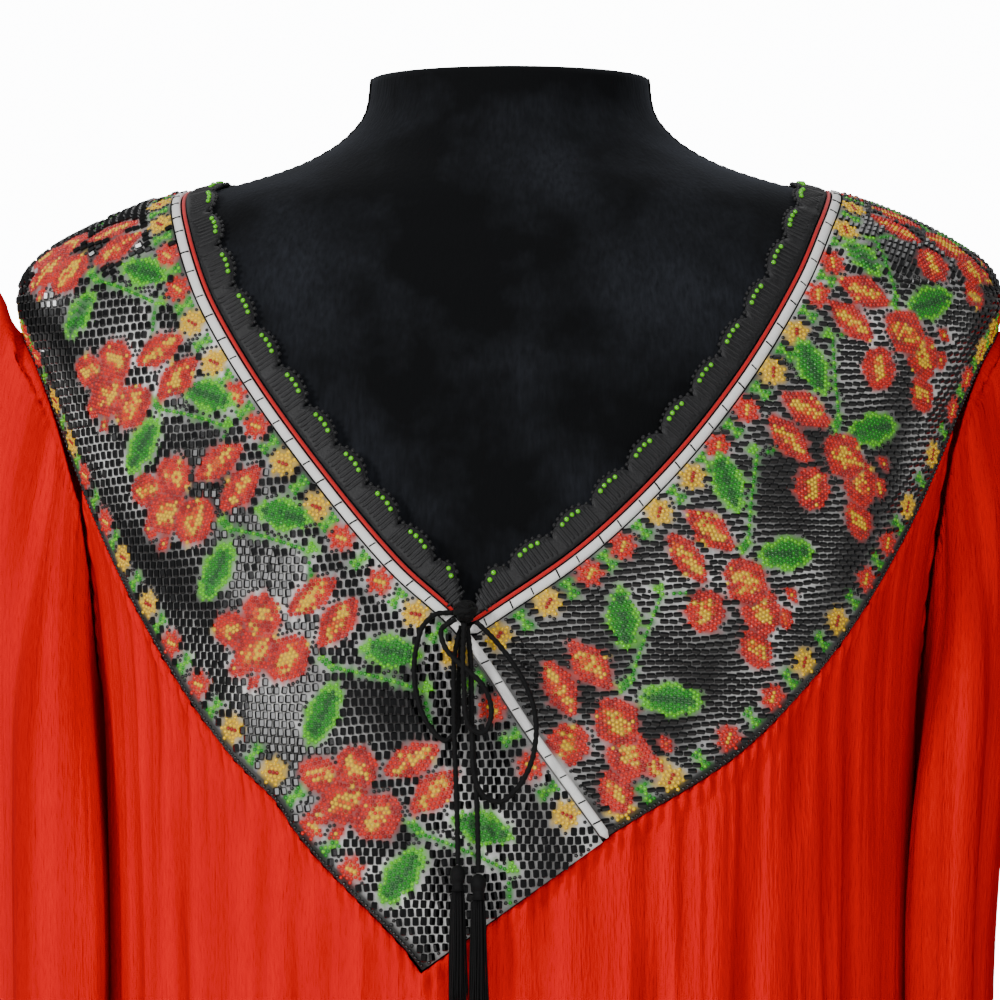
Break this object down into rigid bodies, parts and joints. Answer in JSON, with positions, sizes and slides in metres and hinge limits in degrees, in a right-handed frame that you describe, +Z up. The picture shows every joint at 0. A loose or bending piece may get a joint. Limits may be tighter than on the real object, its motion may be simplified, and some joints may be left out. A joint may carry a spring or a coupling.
{
  "type": "beaded blouse on a limbless dress form",
  "caption": "Loose red gauze blouse with long sleeves, a wide beaded floral yoke that laps at a V neck and a tasselled cord tie, worn by a black velvet limbless dress form.",
  "frame": {"origin": "bottom centre of the form and blouse, on the plane the form stands on", "axes": "+Z up; the front of the blouse faces -Y; +X is the viewer's right"},
  "size_m": [0.4162, 0.2798, 0.7304],
  "materials": {
    "velvet": "black pile velvet",
    "gauze": "red crinkle cotton gauze",
    "beadwork": "glass beads on white thread",
    "white_cotton": "white cotton",
    "red_cotton": "red cotton piping",
    "black_cotton": "black cotton yarn"
  },
  "bodies": {
    "root": {"dress_form": "velvet", "front_panel": "gauze", "back_panel": "gauze", "sleeve_left": "gauze", "sleeve_right": "gauze", "beaded_band_left": "beadwork", "beaded_band_right": "beadwork", "white_neck_edge": "white_cotton", "red_piping": "red_cotton", "crochet_edging": "black_cotton", "tie_knot": "black_cotton", "tie_loop_left": "black_cotton", "tie_loop_right": "black_cotton", "tie_loop_small": "black_cotton", "tie_tail_left": "black_cotton", "tie_tail_right": "black_cotton", "tassel_left": "black_cotton", "tassel_right": "black_cotton"}
  },
  "joints": []
}
